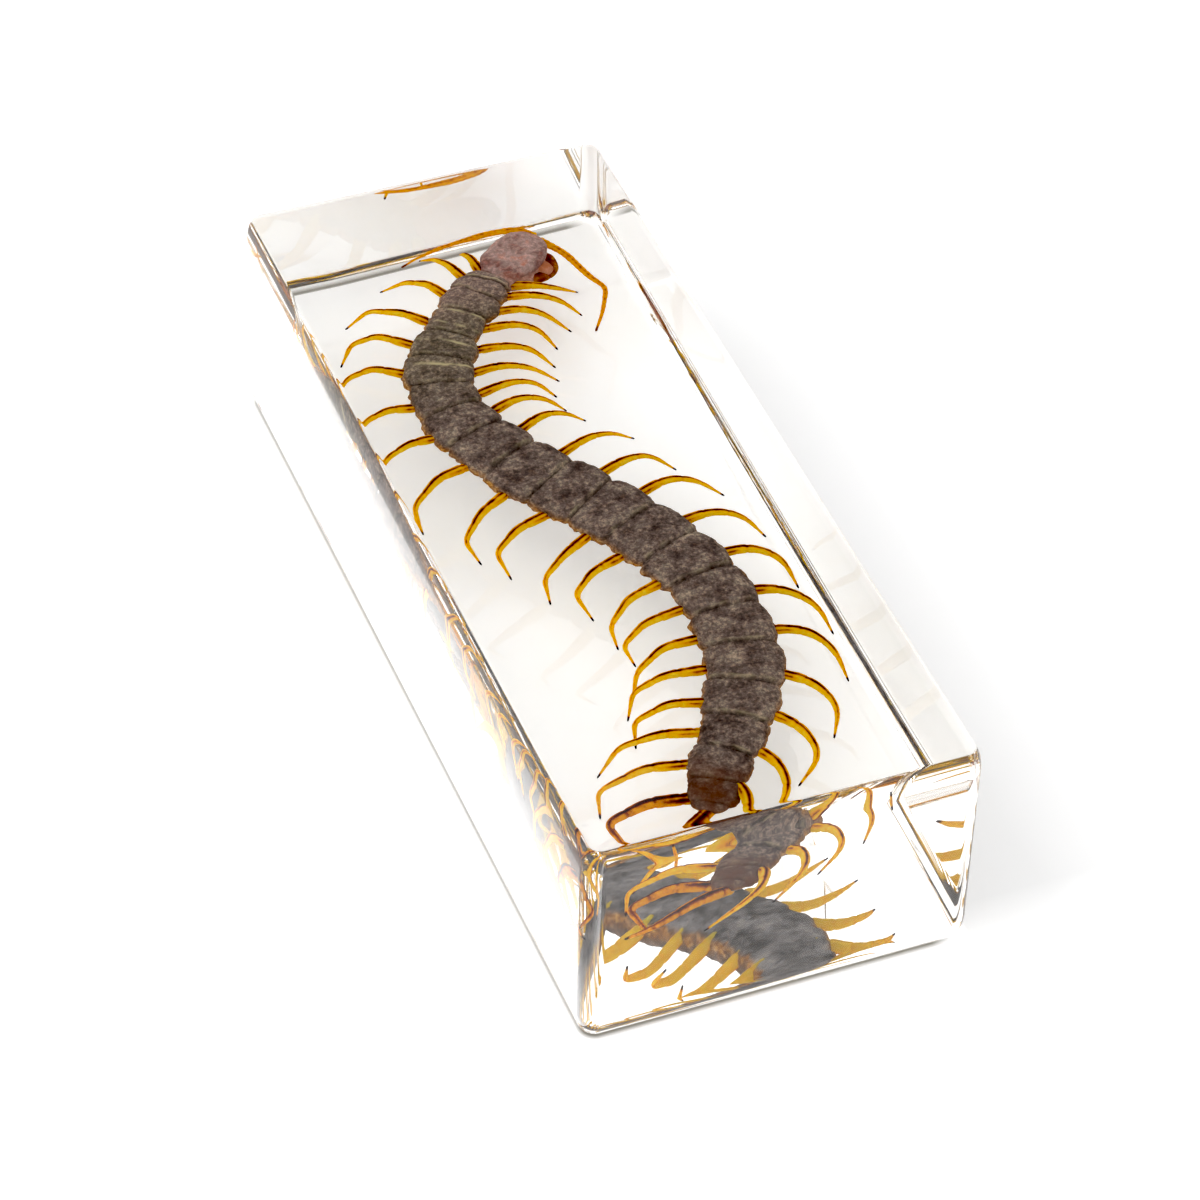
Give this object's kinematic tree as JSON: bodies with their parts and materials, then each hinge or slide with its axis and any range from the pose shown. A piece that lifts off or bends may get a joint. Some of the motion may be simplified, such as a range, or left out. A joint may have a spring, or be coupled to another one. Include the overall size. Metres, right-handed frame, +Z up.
{
  "type": "centipede in resin block",
  "caption": "Clear rounded rectangular resin block lying flat, with a dried, S-curved brown centipede with amber legs sealed inside.",
  "frame": {"origin": "centre of the block's flat underside", "axes": "+Z up through the block, +Y along its length towards the head of the centipede, +X across it"},
  "size_m": [0.044, 0.11, 0.027],
  "materials": {
    "clear_resin": "polished clear cast resin",
    "dry_shell": "dry, slightly rough brown shell with amber legs"
  },
  "bodies": {
    "root": {"resin_lower": "clear_resin", "resin_upper": "clear_resin", "centipede": "dry_shell"}
  },
  "joints": []
}
